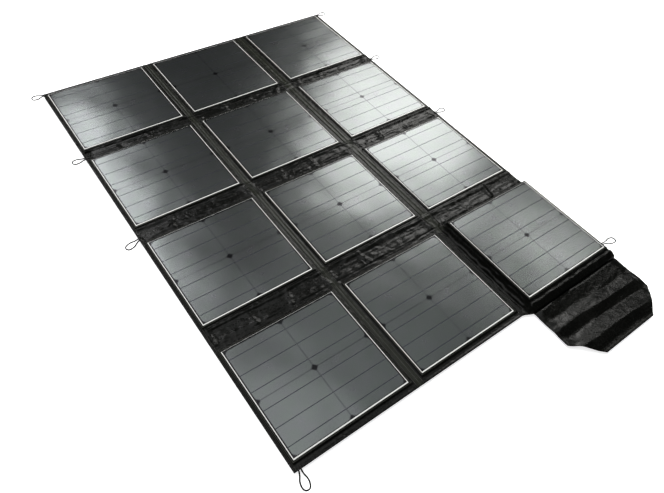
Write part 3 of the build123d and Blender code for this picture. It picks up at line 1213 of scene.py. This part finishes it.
class BLANKET_OT_stage(bpy.types.Operator):
    """Set the pale floor, the soft studio lights and the camera"""

    bl_idname = "blanket.stage"
    bl_label = "Studio"

    def execute(self, context):
        scene = context.scene
        self.lay_floor(scene)
        self.light(scene)
        self.aim_camera(scene)
        scene.view_settings.view_transform = "Standard"
        scene.view_settings.look = "None"
        return {"FINISHED"}

    def lay_floor(self, scene):
        deselect()
        bpy.ops.mesh.primitive_plane_add(size=24, location=(0, 0, -FLOOR_GAP))
        floor = bpy.context.object
        floor.name = "floor"
        material, tree, shader = new_material("Studio floor")
        place = node(tree, "TexCoord").outputs["Object"]
        cloudy = noise_node(tree, place, 0.6, 2.0, 0.5)
        tone = mix_colour(tree, cloudy, rgba(scene.blanket_colours.floor), (0.88, 0.88, 0.88, 1))
        feed(shader, Base_Color=tone, Roughness=0.8)
        feed(shader, Emission_Color=(1, 1, 1, 1), Emission_Strength=0.8)
        floor.data.materials.append(material)

    def light(self, scene):
        world = bpy.data.worlds.new("Studio world")
        scene.world = world
        world.use_nodes = True
        tree = world.node_tree
        tree.nodes.clear()
        dim, bright = node(tree, "Background"), node(tree, "Background")
        feed(dim, Color=(0.94, 1.0, 1.03, 1), Strength=0.075)
        feed(bright, Strength=1.0, Color=(1, 1, 1, 1))
        path, mix = node(tree, "LightPath"), node(tree, "MixShader")
        output = node(tree, "OutputWorld")
        tree.links.new(path.outputs["Is Camera Ray"], mix.inputs[0])
        tree.links.new(dim.outputs[0], mix.inputs[1])
        tree.links.new(bright.outputs[0], mix.inputs[2])
        feed(output, Surface=mix.outputs[0])
        for name, place, aim, wide, long, radiance, tint in SOFT_LIGHTS:
            deselect()
            place, aim = FRONT_LEFT + Vector(place), FRONT_LEFT + Vector(aim)
            bpy.ops.object.light_add(type="AREA", location=place)
            lamp = bpy.context.object
            lamp.name = lamp.data.name = name
            lamp.data.shape = "RECTANGLE"
            lamp.data.size, lamp.data.size_y = wide, long
            lamp.data.energy = radiance * math.pi * wide * long
            lamp.data.color = tint
            lamp.visible_camera = False
            way = aim - place
            lamp.rotation_euler = way.to_track_quat("-Z", "Y").to_euler()
        deselect()
        bpy.ops.object.light_add(type="SUN", location=(0, 0, 3))
        sun = bpy.context.object
        sun.name = sun.data.name = "overhead"
        sun.data.energy = 1.9
        sun.data.angle = math.radians(50)
        sun.rotation_euler = Vector((0.15, -0.25, -1)).to_track_quat("-Z", "Y").to_euler()

    def aim_camera(self, scene):
        deselect()
        bpy.ops.object.camera_add(location=FRONT_LEFT + CAMERA_PLACE)
        camera = bpy.context.object
        camera.name = camera.data.name = "studio_camera"
        azimuth, height, roll = (math.radians(a) for a in CAMERA_ANGLES)
        level = Vector((math.sin(azimuth), -math.cos(azimuth), 0)) * math.cos(height)
        back = level + Vector((0, 0, math.sin(height)))
        right = Vector((math.cos(azimuth), math.sin(azimuth), 0))
        up = back.cross(right)
        across = math.cos(roll) * right + math.sin(roll) * up
        upward = -math.sin(roll) * right + math.cos(roll) * up
        turn = Matrix((across, upward, back)).transposed()
        camera.rotation_euler = turn.to_euler()
        camera.data.sensor_width = 36
        camera.data.lens = CAMERA_LENS
        camera.data.shift_x, camera.data.shift_y = CAMERA_SHIFT
        camera.data.dof.use_dof = False
        scene.camera = camera


class BLANKET_PT_sidebar(bpy.types.Panel):
    """Sizes, colours and the steps of the model"""

    bl_label = "Solar blanket"
    bl_idname = "BLANKET_PT_sidebar"
    bl_space_type = "VIEW_3D"
    bl_region_type = "UI"
    bl_category = "Blanket"

    def draw(self, context):
        for settings in (context.scene.blanket_sizes, context.scene.blanket_colours):
            box = self.layout.box()
            for key in settings.__annotations__:
                box.prop(settings, key)
        for step in STEPS:
            self.layout.operator(step.bl_idname)


STEPS = (
    BLANKET_OT_sleeves,
    BLANKET_OT_column_folds,
    BLANKET_OT_row_folds,
    BLANKET_OT_flap,
    BLANKET_OT_cord_loops,
    BLANKET_OT_panel_faces,
    BLANKET_OT_fittings,
    BLANKET_OT_stage,
)
CLASSES = (BlanketSizes, BlanketColours, *STEPS, BLANKET_PT_sidebar)


def register():
    for item in CLASSES:
        bpy.utils.register_class(item)
    bpy.types.Scene.blanket_sizes = bpy.props.PointerProperty(type=BlanketSizes)
    bpy.types.Scene.blanket_colours = bpy.props.PointerProperty(type=BlanketColours)


def unregister():
    del bpy.types.Scene.blanket_colours
    del bpy.types.Scene.blanket_sizes
    for item in reversed(CLASSES):
        bpy.utils.unregister_class(item)


def main():
    register()
    for step in STEPS:
        family, name = step.bl_idname.split(".")
        getattr(getattr(bpy.ops, family), name)()
    deselect()


if __name__ == "__main__":
    main()
